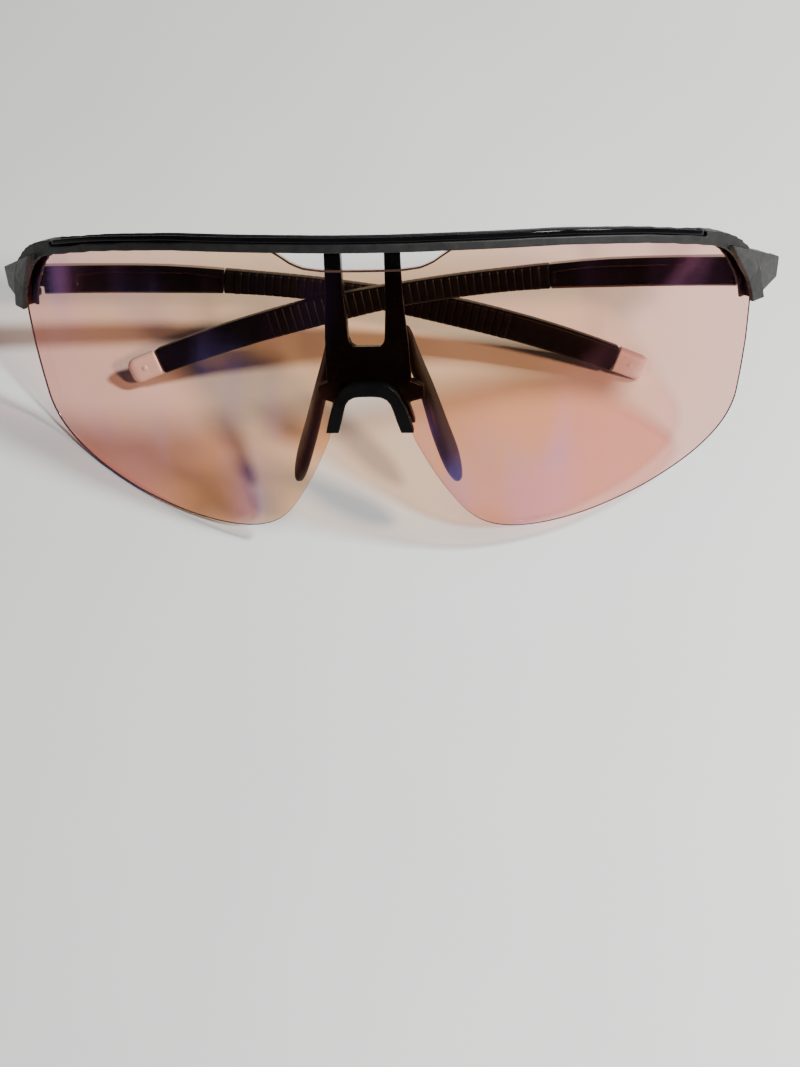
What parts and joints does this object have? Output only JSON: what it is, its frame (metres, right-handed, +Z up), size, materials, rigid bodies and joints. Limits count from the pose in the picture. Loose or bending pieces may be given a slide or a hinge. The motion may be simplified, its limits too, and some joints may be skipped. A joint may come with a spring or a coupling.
{
  "type": "wraparound sport sunglasses",
  "caption": "Half-rim shield sport sunglasses with one curved tinted lens, a clip-in nose bridge with soft pads, and hinged temples with ribbed grips, stored folded.",
  "frame": {"origin": "on the table, below the middle of the folded sunglasses' overall box", "axes": "+X from the wearer's right hinge to the wearer's left hinge, along the brow; +Y away from the viewer, from the lens towards the folded temples; +Z up from the table"},
  "size_m": [0.1434, 0.0488, 0.0599],
  "materials": {
    "lens_tint": "polished tinted shield with a coloured mirror coating",
    "frame_matte": "fine matte moulding",
    "gloss_black": "polished",
    "bridge_black": "satin",
    "temple_gloss": "satin gloss",
    "grip_rubber": "matte, ribbed",
    "pad_rubber": "soft matte",
    "tip_pale": "satin",
    "steel": "satin"
  },
  "bodies": {
    "front": {"lens": "lens_tint", "brow_frame": "frame_matte", "brow_inlay": "gloss_black", "nose_bridge": "bridge_black", "nose_pad_left": "pad_rubber", "nose_pad_right": "pad_rubber", "nose_pad_core_left": "steel", "nose_pad_core_right": "steel", "hinge_screw_left": "steel", "hinge_screw_right": "steel"},
    "temple_left": {"temple_arm_left": "temple_gloss", "hinge_bush_left": "steel", "temple_core_left": "steel", "temple_grip_left": "grip_rubber", "temple_tip_left": "tip_pale"},
    "temple_right": {"temple_arm_right": "temple_gloss", "hinge_bush_right": "steel", "temple_core_right": "steel", "temple_grip_right": "grip_rubber", "temple_tip_right": "tip_pale"}
  },
  "joints": [
    {"name": "temple_left_fold", "type": "hinge", "parent": "front", "child": "temple_left", "pos_m": [-0.0671, 0.01751, 0.02121], "axis": [-0.0429, 0.6266, 0.7782], "range_deg": [0, 81]},
    {"name": "temple_right_fold", "type": "hinge", "parent": "front", "child": "temple_right", "pos_m": [0.06736, 0.01751, 0.03073], "axis": [0.0429, -0.6266, -0.7782], "range_deg": [0, 86]}
  ]
}
